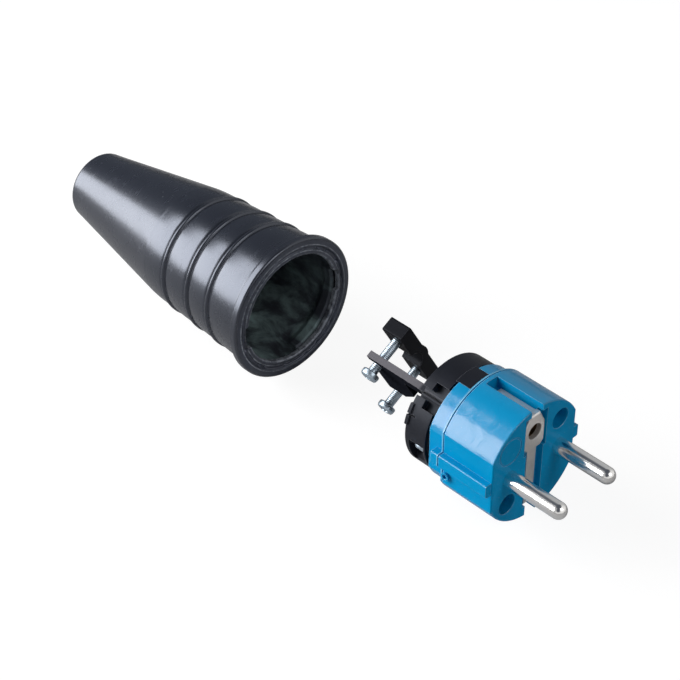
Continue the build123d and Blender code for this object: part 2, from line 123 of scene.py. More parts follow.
class MetalSettings(bpy.types.PropertyGroup):
    """Colours of the plated and plain metal parts."""

    nickel: bpy.props.FloatVectorProperty(
        name="Nickel", description="Plating of the contact pins",
        subtype="COLOR", size=3, min=0, max=1, default=(0.87, 0.855, 0.835))
    strip: bpy.props.FloatVectorProperty(
        name="Strip", description="Satin plating of the earth strip",
        subtype="COLOR", size=3, min=0, max=1, default=(0.76, 0.73, 0.70))
    # brass colour darkened to paint the shade inside the earth hole
    shaded_brass: bpy.props.FloatVectorProperty(
        name="Brass", description="Turned brass of the earth socket",
        subtype="COLOR", size=3, min=0, max=1, default=(0.24, 0.185, 0.125))
    zinc: bpy.props.FloatVectorProperty(
        name="Zinc", description="Bluish plating of the screws",
        subtype="COLOR", size=3, min=0, max=1, default=(0.50, 0.59, 0.67))
    thread_pitch: bpy.props.FloatProperty(
        name="Thread pitch", description="Pitch of the clamp screws' thread",
        default=0.5 * MM, unit="LENGTH", precision=5)


class StageSettings(bpy.types.PropertyGroup):
    """Floor and lamps."""

    floor: bpy.props.FloatVectorProperty(
        name="Floor", description="Colour of the floor",
        subtype="COLOR", size=3, min=0, max=1, default=(0.86, 0.86, 0.87))
    key: bpy.props.FloatProperty(
        name="Softbox power", description="Power of the two softboxes, in watts for each square metre",
        min=0, default=22.0)
    fill: bpy.props.FloatProperty(
        name="Fill power", description="Power of the fill lamp before the pins",
        default=2.5, unit="POWER")
    ambient: bpy.props.FloatProperty(
        name="Ambient", description="Brightness of the room",
        subtype="FACTOR", min=0, max=2, default=0.12)


# Meshes

def put_mesh(name, points, faces):
    """Object at the origin with these points (millimetres, any grid) and faces, which are turned outwards.

    A face list whose enclosed volume, the sum over its triangles of a . (b x c) / 6, is negative is reversed.
    """
    flat = points.reshape(-1, 3) * MM
    volume = 0.0
    for group in faces:
        for k in range(1, group.shape[1] - 1):
            a, b, c = (flat[group[:, i]] for i in (0, k, k + 1))
            volume += np.einsum("ij,ij->", a, np.cross(b, c)) / 6
    if volume < 0:
        faces = [group[:, ::-1] for group in faces]
    mesh = bpy.data.meshes.new(name)
    mesh.from_pydata(flat.tolist(), [], [f for group in faces for f in group.tolist()])
    mesh.polygons.foreach_set("use_smooth", np.ones(len(mesh.polygons), bool))
    mesh.update()
    obj = bpy.data.objects.new(name, mesh)
    bpy.context.scene.collection.objects.link(obj)
    return obj


def grid_faces(rows, columns, wrap_rows=False):
    """Quads of a grid whose columns close on themselves, and whose rows do too if wrap_rows."""
    index = np.arange(rows * columns).reshape(rows, columns)
    index = np.hstack([index, index[:, :1]])
    if wrap_rows:
        index = np.vstack([index, index[:1]])
    corners = (index[:-1, :-1], index[1:, :-1], index[1:, 1:], index[:-1, 1:])
    return np.stack(corners, -1).reshape(-1, 4)


def fan_faces(ring, pole):
    """Triangles from a closed ring of vertex numbers to one pole vertex."""
    return np.stack([ring, np.roll(ring, -1), np.full(len(ring), pole)], -1)


def arc(start, middle, end, count):
    """Points (count, 2) on the circle through three points, evenly turned, with the end left out."""
    a, b, c = (np.asarray(p, float) for p in (start, middle, end))
    rows = 2 * np.array([b - a, c - a])
    centre = np.linalg.solve(rows, [b @ b - a @ a, c @ c - a @ a])
    turns = np.arctan2(*(np.array([a, b, c]) - centre).T[::-1])
    full = 2 * math.pi
    sweep = (turns[2] - turns[0]) % full
    if (turns[1] - turns[0]) % full > sweep:
        sweep -= full
    angle = turns[0] + sweep * np.arange(count) / count
    radius = np.linalg.norm(a - centre)
    return centre + radius * np.stack([np.cos(angle), np.sin(angle)], -1)


def ring_angles(count):
    """Angles (count,) evenly round a full turn."""
    return np.linspace(0, 2 * math.pi, count, endpoint=False)


def run(start, end, count):
    """Points (count, 2) on the straight line from start to end, with the end left out."""
    share = (np.arange(count) / count)[:, None]
    return np.asarray(start, float) * (1 - share) + np.asarray(end, float) * share


def smooth(x, low, high):
    """0 below low, 1 above high, and 3t^2 - 2t^3 between them."""
    t = np.clip((x - low) / (high - low), 0, 1)
    return t * t * (3 - 2 * t)


def turned(angle, centre):
    """Signed difference of two angles, from -pi to pi."""
    return (angle - centre + math.pi) % (2 * math.pi) - math.pi


def ragged(angle, orders, seed):
    """Uneven edge round a ring, 0 to 1: a sum of sines of seeded phase, one for each order, squared."""
    draw = np.random.default_rng(seed)
    phases = draw.uniform(0, 2 * math.pi, len(orders))
    weights = draw.uniform(0.5, 1.0, len(orders))
    wave = sum(w * np.sin(n * angle + p) for n, p, w in zip(orders, phases, weights))
    return (0.5 + 0.5 * wave / weights.sum()) ** 2


# Rubber hood

BEADS = (15.4, 25.0, 36.2)
BEAD_HALF = 0.65
BEAD_FRONT = ((-0.35, -0.04), (-0.18, -0.16), (-0.04, -0.10))   # groove before a bead, from where it rises
BEAD_BACK = ((0.0, 0.0), (0.05, -0.12), (0.20, -0.18))          # groove behind it, from where it ends
BEAD_END = (0.38, -0.04)
BAND_BOW = 0.15
CREASE = (45.5, 18.5)
CREASE_BEFORE = 0.45
CREASE_AFTER = 0.4
CREASE_DIP = 0.01
BARREL_R = 20.6
FLANGE_LEN = 4.4
FLANGE_SIDE = 2.4
FLANGE_ROUND = 0.7
FLANGE_HOLLOW = 0.3     # how far the flange's hollow back leaves the straight line
HEEL_DROP = 0.2
HEEL_ROUND = (0.25, 0.06)   # each rounding: its length, and the inset of its middle
RIM_R = 19.8
RIDGE = (0.35, 0.16, 0.14)  # moulded ridge on the rim: its place, width and height
GROOVE_R = 18.6
GROOVE_DEEP = 0.5
GROOVE_EDGE = ((0.0, -0.15), (0.05, -0.04), (0.2, 0.0))
GROOVE_FOOT = 0.1
GROOVE_TOP = (0.12, 0.02)
PIT_DEEP = 0.8
PIT_FLOOR = (0.2, 0.25)
PIT_COUNT = 18
PIT_SHIFT = 0.12
PIT_WIDTHS = (0.020, 0.042)
PIT_SHARES = (0.4, 1.0)
LIP_LEN = 1.7
LIP_FRONT = (0.55, 0.16)
LIP_BACK = (0.2, 0.06)
CAVITY_R = 18.3
CAVITY_LEN = 9.0
CAVITY_STEP = 1.2
CAVITY_CORNER = 0.1
HOOD_WALL = 2.3
TAIL_ROUND = 1.5
BORE_R = 6.5
BORE_LEN = 9.0
BORE_ROUND = (0.5, 0.15)
FLARE_SHARE = 0.1       # widening behind the bore, as a share of the hood's length
FLARE_RISE = 1.4
LEDGE = (2.2, 5.6)
LEDGE_EDGE = 0.08
LEDGE_ANGLES = (math.radians(-81), math.radians(15))
KEYWAY_AT = math.radians(5.0)
KEYWAY_HALF = math.radians(12.5)
KEYWAY_DEEP = 1.2
CORNER_ANGLE = 0.012    # rounding of the keyways' and ledges' ends, in radians
HALF_ROUND = 2.0        # a ledge lies within this angle of its own start
RAGGED_MEAN = 0.3
LIP_RAGGED = (0.30, (3, 7, 13, 22, 37, 58, 83))     # each uneven edge: its size and the waves round the ring
FACE_RAGGED = (0.10, (5, 11, 19, 33, 61))
GROOVE_RAGGED = (0.12, (9, 17, 29, 47))
SKIN_RAGGED = (0.05, (2, 3, 5))
LIP_WEAR_AND_HIGHLIGHT = (0.1, 0.35)      # each line of wear and painted highlight: its place from the edge that it follows, and its width
GROOVE_WEAR_AND_HIGHLIGHT = (-0.1, 0.12)
RIM_WEAR_AND_HIGHLIGHT = (0.45, 0.12)
HOOD_TURNS = 448


def barrel_radius(s):
    """Outer radius of the barrel, falling evenly from the flange to the crease."""
    share = (s - FLANGE_LEN) / (CREASE[0] - FLANGE_LEN)
    return BARREL_R + (CREASE[1] - BARREL_R) * share


def bowed(start, end):
    """Middle of a band from start to end, raised by the bow."""
    return (start[0] + end[0]) / 2, (start[1] + end[1]) / 2 + BAND_BOW


def outer_section(length, flange, tail, bead):
    """Stretches from rim to tail: flange, bowed bands between beads, a soft crease and a straight cone."""
    inset = 1 - math.sqrt(0.5)
    corner = FLANGE_ROUND * inset
    knee = TAIL_ROUND * inset
    edge = (0.0, flange - FLANGE_ROUND)
    crown = (FLANGE_ROUND, flange)
    side = (FLANGE_SIDE - HEEL_ROUND[0], flange)
    heel = (FLANGE_SIDE, flange - HEEL_DROP)
    neck = (FLANGE_LEN, barrel_radius(FLANGE_LEN))
    hollow = (heel[0] + FLANGE_HOLLOW * (neck[0] - heel[0]), neck[1] + FLANGE_HOLLOW * (heel[1] - neck[1]))
    parts = [
        ("rim", run((0.0, RIM_R), edge, 14)),
        ("flange", arc(edge, (corner, flange - corner), crown, 7)),
        ("flange", run(crown, side, 6)),
        ("flange", arc(side, (FLANGE_SIDE - HEEL_ROUND[1], flange - HEEL_ROUND[1]), heel, 4)),
        ("flange", arc(heel, hollow, neck, 12)),
    ]
    start = neck
    for s in BEADS:
        rise = np.array((s - BEAD_HALF, barrel_radius(s - BEAD_HALF)))
        fall = np.array((s + BEAD_HALF, barrel_radius(s + BEAD_HALF)))
        front = rise + np.array(BEAD_FRONT)
        parts += [
            ("band", arc(start, bowed(start, rise), front[0], 9)),
            ("bead", front),
            ("bead", arc(rise, (s, barrel_radius(s) + bead), fall, 9)),
            ("bead", fall + np.array(BEAD_BACK)),
        ]
        start = fall + np.array(BEAD_END)
    before = (CREASE[0] - CREASE_BEFORE, barrel_radius(CREASE[0] - CREASE_BEFORE))
    slope = (tail - CREASE[1]) / (length - TAIL_ROUND - CREASE[0])
    after = (CREASE[0] + CREASE_AFTER, CREASE[1] + CREASE_AFTER * slope)
    brow = (length - TAIL_ROUND, tail)
    end = (length, tail - TAIL_ROUND)
    return parts + [
        ("band", arc(start, bowed(start, before), before, 9)),
        ("band", arc(before, (CREASE[0], CREASE[1] - CREASE_DIP), after, 6)),
        ("cone", run(after, brow, 10)),
        ("tail", arc(brow, (length - knee, tail - knee), end, 9)),
        ("tail", run(end, (length, BORE_R + BORE_ROUND[0]), 3)),
    ]


def inner_section(length, lip):
    """Stretches from the tail's bore through the cavity to the lip, then across the groove behind the rim."""
    rim_edge = (length, BORE_R + BORE_ROUND[0])
    bore = (length - BORE_ROUND[0], BORE_R)
    throat = (length - BORE_LEN, BORE_R)
    flare = (throat[0] - FLARE_SHARE * length, BORE_R + FLARE_RISE)
    waist = (CREASE[0], CREASE[1] - HOOD_WALL)
    step = (CAVITY_LEN + CAVITY_STEP, barrel_radius(CAVITY_LEN) - HOOD_WALL)
    cavity = (CAVITY_LEN, CAVITY_R)
    back = (LIP_LEN, lip + LIP_BACK[0])
    grip = (LIP_LEN - LIP_BACK[0], lip)
    front = (LIP_FRONT[0], lip)
    face = (0.0, lip + LIP_FRONT[0])
    edge = np.array(GROOVE_EDGE) + (0.0, GROOVE_R)
    foot = (GROOVE_DEEP - GROOVE_FOOT, GROOVE_R + GROOVE_FOOT)
    far_foot = (GROOVE_DEEP - GROOVE_FOOT, RIM_R - GROOVE_FOOT)
    top = (GROOVE_TOP[0], RIM_R - GROOVE_TOP[1])
    return [
        ("tail", arc(rim_edge, (length - BORE_ROUND[1], BORE_R + BORE_ROUND[1]), bore, 4)),
        ("inside", run(bore, throat, 2)),
        ("inside", run(throat, flare, 2)),
        ("inside", run(flare, waist, 3)),
        ("inside", run(waist, step, 4)),
        ("inside", run(step, cavity, 3)),
        ("inside", run(cavity, (LEDGE[1], CAVITY_R), 3)),
        ("ledge", run((LEDGE[1] - LEDGE_EDGE, CAVITY_R), (LEDGE[0] + LEDGE_EDGE, CAVITY_R), 8)),
        ("inside", np.array([(LEDGE[0], CAVITY_R), (LIP_LEN + CAVITY_CORNER, CAVITY_R)])),
        ("inside", run((LIP_LEN, CAVITY_R - CAVITY_CORNER), back, 3)),
        ("lip", arc(back, (LIP_LEN - LIP_BACK[1], lip + LIP_BACK[1]), grip, 3)),
        ("lip", run(grip, front, 4)),
        ("lip", arc(front, (LIP_FRONT[1], lip + LIP_FRONT[1]), face, 7)),
        ("lip_face", run(face, edge[0], 6)),
        ("groove", arc(*edge, 3)),
        ("groove", run(edge[2], foot, 3)),
        ("pit", run((GROOVE_DEEP, GROOVE_R + PIT_FLOOR[0]), (GROOVE_DEEP, RIM_R - PIT_FLOOR[1]), 7)),
        ("groove", run(far_foot, top, 4)),
    ]


def hood_section(size):
    """Closed section of the hood, as named stretches of (s, r): back from the mouth and out from the axis."""
    length = size.length / MM
    outside = outer_section(length, size.flange_radius / MM, size.tail_radius / MM, size.bead_height / MM)
    return outside + inner_section(length, size.lip_radius / MM)


def keyways(angle):
    """1 inside the two keyways of the lip, near +Y and -Y, with rounded corners."""
    off = np.minimum(np.abs(turned(angle, KEYWAY_AT)), np.abs(turned(angle, KEYWAY_AT + math.pi)))
    return 1 - smooth(off, KEYWAY_HALF - CORNER_ANGLE, KEYWAY_HALF + CORNER_ANGLE)


def ledges(angle):
    """1 along the two inner ledges, which face each other across the axis."""
    total = np.zeros_like(angle)
    for turn in (0.0, math.pi):
        low = turned(angle, LEDGE_ANGLES[0] + turn)
        high = turned(angle, LEDGE_ANGLES[1] + turn)
        ends = smooth(low, 0.0, CORNER_ANGLE) * smooth(-high, 0.0, CORNER_ANGLE)
        total += ends * (np.abs(low) < HALF_ROUND)
    return np.clip(total, 0, 1)


def pits(angle):
    """Small vent pits at uneven places round the groove, 0 to 1."""
    draw = np.random.default_rng(SEED + 2)
    total = np.zeros_like(angle)
    for centre in ring_angles(PIT_COUNT) + draw.uniform(-PIT_SHIFT, PIT_SHIFT, PIT_COUNT):
        width = draw.uniform(*PIT_WIDTHS)
        total += draw.uniform(*PIT_SHARES) * np.exp(-(turned(angle, centre) / width) ** 2)
    return np.clip(total, 0, 1)


def make_hood(size):
    """Hood skin: the section turned about the plug's axis, r = r(s, angle), and X = mouth - s.

    The lip opens by the keyway's depth inside the keyways, the cavity closes in to the lip's radius along the
    ledges, the groove's floor sinks in the pits, and the lip's edges and the rim are uneven by a tenth of a
    millimetre.
    """
    parts = hood_section(size)
    kind = np.repeat([name for name, _ in parts], [len(p) for _, p in parts])
    section = np.vstack([p for _, p in parts])
    angle = ring_angles(HOOD_TURNS)
    s = np.repeat(section[:, :1], HOOD_TURNS, 1)
    r = np.repeat(section[:, 1:], HOOD_TURNS, 1)
    lip = size.lip_radius / MM

    def rows(*names):
        return np.isin(kind, names).astype(float)

    def edge_of(names, ragged_edge, seed, mean=0.0):
        height, orders = ragged_edge
        return rows(*names)[:, None] * (ragged(angle, orders, seed) - mean) * height

    lip_face = rows("lip_face")[:, None] * (GROOVE_R - r) / (GROOVE_R - lip)
    r += (rows("lip")[:, None] + lip_face) * keyways(angle) * KEYWAY_DEEP
    r -= rows("ledge")[:, None] * ledges(angle) * (CAVITY_R - lip)
    r -= edge_of(["lip"], LIP_RAGGED, SEED, RAGGED_MEAN)
    s -= edge_of(["lip_face"], FACE_RAGGED, SEED + 1, RAGGED_MEAN)
    s += rows("pit")[:, None] * pits(angle) * PIT_DEEP
    s += edge_of(["groove", "pit"], GROOVE_RAGGED, SEED + 3)
    s -= rows("rim")[:, None] * RIDGE[2] * np.exp(-((r - RIM_R - RIDGE[0]) / RIDGE[1]) ** 2)
    r -= edge_of(["flange", "band", "bead", "cone"], SKIN_RAGGED, SEED + 4)
    x = HOOD_HIGH.x / MM - s
    points = np.stack([x, r * np.cos(angle), r * np.sin(angle)], -1)
    hood = put_mesh("hood_skin", points, [grid_faces(len(section), HOOD_TURNS, wrap_rows=True)])
    ring = rows("lip", "lip_face", "groove", "pit", "rim")
    # pale lines along the lip's, groove's and rim's edges: partly wear, partly painted highlights
    lines = ((lip, LIP_WEAR_AND_HIGHLIGHT), (GROOVE_R, GROOVE_WEAR_AND_HIGHLIGHT), (RIM_R, RIM_WEAR_AND_HIGHLIGHT))
    wear_and_highlight = ring * sum(np.exp(-((section[:, 1] - at - off) / width) ** 2) for at, (off, width) in lines)
    layers = {"inner": rows("inside", "ledge"), "ring": ring, "wear_and_highlight": np.clip(wear_and_highlight, 0, 1)}
    for name, values in layers.items():
        layer = hood.data.attributes.new(name, "FLOAT", "POINT")
        layer.data.foreach_set("value", np.repeat(values.astype(np.float32), HOOD_TURNS))
    return hood


# Clamp screws

CLAMP_TURN = math.radians(30)
CLAMP_X = -51.3
CLAMP_PITCH = 16.4
CLAMP_ALONG = np.array([1.0, 0.0, 0.0])
CLAMP_ACROSS = np.array([0.0, math.sin(CLAMP_TURN), -math.cos(CLAMP_TURN)])
CLAMP_UP = np.array([0.0, math.cos(CLAMP_TURN), math.sin(CLAMP_TURN)])
TONGUE_UNDER = -2.6
HEAD_R = 2.6
HEAD_H = 2.1
HEAD_FOOT = ((0.45, 0.0), (0.22, 0.02), (0.10, 0.10), (0.02, 0.25))     # rounded foot: height, and inset
HEAD_NECK = 0.12        # the head's underside ends this far outside the shank
CROWN_SHARE = 0.80      # crown's radius as a share of the head's
CROWN_START = 0.06
CROWN_RINGS = 26
DOME = 0.42
SHOULDER_H = 0.95
SHOULDER_RINGS = 8
RECESS_REACH = 0.62     # reach of the cross recess as a share of the head's radius
RECESS_HALF = 0.36
RECESS_DEEP = 1.15
RECESS_SIDE = 0.6       # flat share of an arm's width, and of its length
RECESS_END = 0.55
SHANK_R = 1.4
SHANK_LEN = 14.5
SHANK_RINGS = 300
TIP_LEN = 0.5
TIP = ((0.86, 0.28), (0.70, 0.10), (0.45, 0.02), (0.12, 0.0))           # radius as a share, and height
TIP_TAPER = 0.12
TIP_TAPER_LEN = 1.2
THREAD_DEEP = 0.07
THREAD_FLANK = (0.1, 0.9)
THREAD_IN = (0.2, 1.2)
THREAD_OUT = (1.4, 0.6)
SCREW_TURNS = 96


def cross_recess(x, y, reach):
    """Depth share of a cross recess: two arms of even width with sloping ends, deepest in the middle."""
    def arm(along, across):
        side = 1 - smooth(np.abs(across), RECESS_SIDE * RECESS_HALF, RECESS_HALF)
        return side * (1 - smooth(np.abs(along), RECESS_END * reach, reach))

    return np.maximum(arm(x, y), arm(y, x))


def column(values):
    """Values as a column, one row for each ring."""
    return np.array(values)[:, None]


def make_clamp_screw(name, side, head_gap, spin, pitch):
    """Pan-head machine screw: rings from the crown's middle out, down the shank and to the tip.

    The crown's height is a flat dome less the cross recess; the shank's radius follows a triangle wave of
    (height / pitch - angle / 2 pi), which is a helical thread, fading out under the head and at the tip.
    """
    angle = ring_angles(SCREW_TURNS)
    flat = np.ones_like(angle)
    crown_r = column(np.linspace(CROWN_START, CROWN_SHARE, CROWN_RINGS)) * HEAD_R
    turn = angle + spin
    depth = cross_recess(crown_r * np.cos(turn), crown_r * np.sin(turn), RECESS_REACH * HEAD_R)
    crown_h = HEAD_H - DOME * (crown_r / HEAD_R) ** 2 - RECESS_DEEP * depth
    quarter = column(np.linspace(0, 1, SHOULDER_RINGS + 1)[1:]) * math.pi / 2
    shoulder_r = HEAD_R * (CROWN_SHARE + (1 - CROWN_SHARE) * np.sin(quarter))
    shoulder_h = HEAD_H - DOME * CROWN_SHARE ** 2 - SHOULDER_H * (1 - np.cos(quarter))
    foot_r = column([HEAD_R - inset for _, inset in HEAD_FOOT] + [SHANK_R + HEAD_NECK])
    foot_h = column([height for height, _ in HEAD_FOOT] + [0.0])
    along = column(np.linspace(0, SHANK_LEN - TIP_LEN, SHANK_RINGS))
    wave = np.abs(((along * MM / pitch - angle / (2 * math.pi)) % 1.0) * 2 - 1)
    fade = smooth(along, *THREAD_IN) * (1 - smooth(along, *(SHANK_LEN - end for end in THREAD_OUT)))
    cut = THREAD_DEEP * fade * (1 - smooth(wave, *THREAD_FLANK))
    thread_r = SHANK_R - cut - TIP_TAPER * smooth(along, SHANK_LEN - TIP_TAPER_LEN, SHANK_LEN)
    tip_r = column([share for share, _ in TIP]) * SHANK_R
    tip_h = column([height for _, height in TIP]) - SHANK_LEN
    r = np.vstack([k * flat for k in (crown_r, shoulder_r, foot_r, thread_r, tip_r)])
    h = np.vstack([k * flat for k in (crown_h, shoulder_h, foot_h, -along, tip_h)])
    base = CLAMP_X * CLAMP_ALONG + side * CLAMP_PITCH / 2 * CLAMP_ACROSS
    base = base + (TONGUE_UNDER - head_gap) * CLAMP_UP
    points = base + (r * np.cos(angle))[..., None] * CLAMP_ALONG
    points = points + (r * np.sin(angle))[..., None] * CLAMP_ACROSS - h[..., None] * CLAMP_UP
    poles = np.stack([points[0].mean(0), points[-1].mean(0)])
    count = len(r) * SCREW_TURNS
    first = np.arange(SCREW_TURNS)
    faces = [
        grid_faces(len(r), SCREW_TURNS),
        fan_faces(first[::-1], count),
        fan_faces(first + count - SCREW_TURNS, count + 1),
    ]
    return put_mesh(name, np.vstack([points.reshape(-1, 3), poles]), faces)


# Earth socket's spring

EARTH_Z = 10.0
SPRING_R = 2.20
SPRING_WAIST = 0.30
SPRING_WALL = 0.32
SPRING_FRONT = -2.6
SPRING_LEN = 8.0
SPRING_RINGS = 25
SPRING_TURNS = 160
SPRING_TONGUES = 4
SPRING_TURN = 0.6
SLOT_DEEP = 1.6
SLOT_SIDES = (0.10, 0.28)


def make_earth_spring():
    """Split spring sleeve in the earth hole: a thin tube, r = r0 - waist sin^2(pi s), slotted at its mouth.

    The wall is a closed section carried round the hole's axis, and its front edge dips between the tongues.
    """
    angle = ring_angles(SPRING_TURNS)
    s = column(np.linspace(0, 1, SPRING_RINGS))
    outer = SPRING_R - SPRING_WAIST * np.sin(s * math.pi) ** 2
    inner = outer - SPRING_WALL
    tongue = 0.5 + 0.5 * np.cos(SPRING_TONGUES * angle + SPRING_TURN)
    dip = SLOT_DEEP * (1 - smooth(tongue, *SLOT_SIDES))
    wall_x = SPRING_FRONT - SPRING_LEN * s - dip * (1 - s) ** 3
    x = np.vstack([wall_x, wall_x[::-1]])
    r = np.vstack([outer, inner[::-1]]) * np.ones_like(angle)
    points = np.stack([x, r * np.cos(angle), EARTH_Z + r * np.sin(angle)], -1)
    return put_mesh("earth_spring", points, [grid_faces(len(r), SPRING_TURNS, wrap_rows=True)])


# Finishes

SKIN_TONES = (0.86, 1.18)           # shades of the rubber, as factors of its colour
SCUFF_TONE = 2.2
# front ring painted lighter: partly scuffs, partly painted light on its face
RING_SCUFF_AND_LIGHT_TONE = 6.0
INSIDE_TONE = 1.2
INSIDE_ROUGH = 0.62
RING_ROUGH = 0.16
DUST_HEIGHTS = (-12 * MM, 10 * MM)  # the inside's pale dust colour fades upwards between these heights, leaving it darker towards the top
DUST_LOSS = 0.88
# colour of the ring's edge lines: wear and painted highlight
RUBBER_WEAR_AND_HIGHLIGHT = (0.36, 0.39, 0.44)
RUBBER_SPECK = (0.16, 0.17, 0.19)
RUBBER_TINT = (0.79, 0.85, 1.0, 1.0)
FLOW_TONES = (0.93, 1.06)           # shades of the blue along its flow marks
BLUE_SPECK = (0.20, 0.50, 0.78)
# painted highlight on the blue's convex edges
BLUE_EDGE_HIGHLIGHT = (0.36, 0.70, 0.92)
# painted highlight along the parting line
BLUE_PARTING_HIGHLIGHT = (0.34, 0.74, 0.92)
BLUE_TINT = (0.97, 0.80, 0.72, 1.0)
PARTING_HIGHLIGHT_X = (-17.76 * MM, -17.53 * MM)    # painted highlight along the parting line
PARTING_HIGHLIGHT_SOFT = 0.1 * MM
ROUND_SLOPES = (0.01, 0.16)         # squared Z of the normal on the satin flats and on the polished rounds
POLISHED = 0.66                     # specular levels of the rounds and the flats
SATIN = 0.04
BLACK_TONES = (0.8, 1.25)           # shades of the black, as factors of its colour
BLACK_SCUFF = 3.2
# painted highlights on convex edges
BLACK_EDGE_HIGHLIGHT = (0.20, 0.205, 0.23)
BLACK_TINT = (0.84, 0.89, 1.0, 1.0)
TONGUE_ROOT = -34.5 * MM            # the clamp's tongue lies behind this
TONGUE_SOFT = 1.0 * MM
# painted highlight on the tongue's faces that look along the clamp bar
TONGUE_PAINTED_HIGHLIGHT = (0.19, 0.185, 0.205)
TONGUE_SLOPES = (0.90, 0.98)
TARNISH_TONE = 0.62
METALS = {
    "pin_nickel": dict(
        rough=0.13, grain=0.35 * MM, stretch=(14, 1, 1), tarnish=0.12, edge=0.15 * MM, bumpiness=0.14),
    "earth_metal": dict(
        rough=0.36, grain=0.25 * MM, stretch=(1, 1, 8), tarnish=0.35, edge=0.20 * MM, bumpiness=0.35,
        metallic=0.75),
    "earth_brass": dict(
        rough=0.24, grain=0.30 * MM, stretch=(0.3, 1, 1), tarnish=0.5, edge=0.15 * MM),
    "screw_zinc": dict(
        rough=0.34, grain=0.4 * MM, stretch=(1, 1, 1), tarnish=0.3, edge=0.12 * MM),
}


class Wire:
    """Output socket that takes part in arithmetic: each operator adds one Math node to its finish."""

    def __init__(self, finish, socket):
        self.finish = finish
        self.socket = socket

    def _math(self, operation, first, second):
        return self.finish.node("ShaderNodeMath", {"operation": operation}, {0: first, 1: second})

    def __add__(self, other):
        return self._math("ADD", self, other)

    __radd__ = __add__

    def __rsub__(self, other):
        return self._math("SUBTRACT", other, self)

    def __mul__(self, other):
        return self._math("MULTIPLY", self, other)

    def larger(self, other):
        """The larger of two values."""
        return self._math("MAXIMUM", self, other)

    def between(self, low, high):
        """0 at low, 1 at high, smooth between them."""
        ends = {"Value": self, "From Min": low, "From Max": high}
        return self.finish.node("ShaderNodeMapRange", {"interpolation_type": "SMOOTHSTEP"}, ends)


class Finish:
    """Node tree with one method that adds any node, shared by the materials and the room."""

    def __init__(self, tree):
        self.tree = tree
        tree.nodes.clear()

    def node(self, kind, settings=None, sockets=None, out=0):
        """Adds a node with these settings and socket values or links, and returns one of its outputs."""
        made = self.tree.nodes.new(kind)
        for key, value in (settings or {}).items():
            setattr(made, key, value)
        for key, value in (sockets or {}).items():
            if isinstance(value, Wire):
                self.tree.links.new(value.socket, made.inputs[key])
            else:
                made.inputs[key].default_value = value
        return Wire(self, made.outputs[out]) if made.outputs else made

    def coords(self, kind="Object"):
        """Object coordinates, or another output of the same node, such as the normal."""
        return self.node("ShaderNodeTexCoord", out=kind)

    def axis(self, name, kind="Object"):
        """One axis of those coordinates."""
        return self.node("ShaderNodeSeparateXYZ", None, {0: self.coords(kind)}, out=name)

    def dot(self, first, second):
        """Dot product of two vectors."""
        sockets = {0: first, 1: second}
        return self.node("ShaderNodeVectorMath", {"operation": "DOT_PRODUCT"}, sockets, out="Value")

    def place(self, scale=(1, 1, 1), shift=(0, 0, 0)):
        """Object coordinates, shifted and scaled."""
        return self.node("ShaderNodeMapping", None, {
            "Vector": self.coords(), "Location": shift, "Scale": scale})

    def noise(self, size, detail=3.0, rough=0.55, stretch=(1, 1, 1), shift=(0, 0, 0), warp=0.0):
        """Noise whose grains are about size metres across, stretched along the axes."""
        where = self.place(tuple(1.0 / k for k in stretch), shift)
        return self.node("ShaderNodeTexNoise", None, {
            "Vector": where, "Scale": 1.0 / size, "Detail": detail, "Roughness": rough, "Distortion": warp})

    def specks(self, size, share):
        """1 in small round specks that fill about this share of cells of the given size."""
        sockets = {"Vector": self.place(), "Scale": 1.0 / size, "Randomness": 1.0}
        cell = self.node("ShaderNodeTexVoronoi", None, sockets, out="Distance")
        pick = self.node("ShaderNodeTexVoronoi", None, sockets, out="Color")
        red = self.node("ShaderNodeSeparateColor", None, {"Color": pick})
        return (1 - cell.between(0.10, 0.30)) * red.between(1 - share - 0.02, 1 - share)

    def mix(self, factor, first, second):
        """Colour between two colours."""
        colours = [c if isinstance(c, Wire) else (*c, 1.0) for c in (first, second)]
        sockets = {0: factor, 6: colours[0], 7: colours[1]}
        return self.node("ShaderNodeMix", {"data_type": "RGBA"}, sockets, out=2)

    def layer(self, name):
        """Value of the mesh's own attribute."""
        return self.node("ShaderNodeAttribute", {"attribute_name": name}, None, out="Fac")

    def rounded(self, radius):
        """Normal that rounds sharp edges by this radius."""
        return self.node("ShaderNodeBevel", {"samples": 6}, {"Radius": radius})

    def edges(self, radius):
        """1 on convex edges, fading out over this radius: the rounded normal turns there, in the open."""
        turn = self.dot(self.rounded(radius), self.node("ShaderNodeNewGeometry", out="Normal"))
        open_air = self.node("ShaderNodeAmbientOcclusion", {"samples": 6}, {"Distance": 4 * radius}, out="AO")
        return (1 - turn).between(0.02, 0.20) * open_air.between(0.50, 0.75)

    def bump(self, height, distance, strength, normal=None):
        """Normal tilted by a height from 0 to 1 that stands for this distance."""
        sockets = {"Height": height, "Distance": distance, "Strength": strength}
        if normal:
            sockets["Normal"] = normal
        return self.node("ShaderNodeBump", None, sockets)

    def surface(self, sockets, change=None, share=None):
        """Joins a Principled surface to the output, mixed by a share with one of changed sockets, if any."""
        shader = self.node("ShaderNodeBsdfPrincipled", None, sockets)
        if change:
            second = self.node("ShaderNodeBsdfPrincipled", None, {**sockets, **change})
            shader = self.node("ShaderNodeMixShader", None, {0: share, 1: shader, 2: second})
        self.node("ShaderNodeOutputMaterial", None, {"Surface": shader})


def new_finish(name):
    """Empty material and its node tree."""
    material = bpy.data.materials.new(name)
    material.use_nodes = True
    return material, Finish(material.node_tree)


def shade(colour, factor):
    """Colour scaled by a number, in Python."""
    return tuple(min(1.0, c * factor) for c in colour)


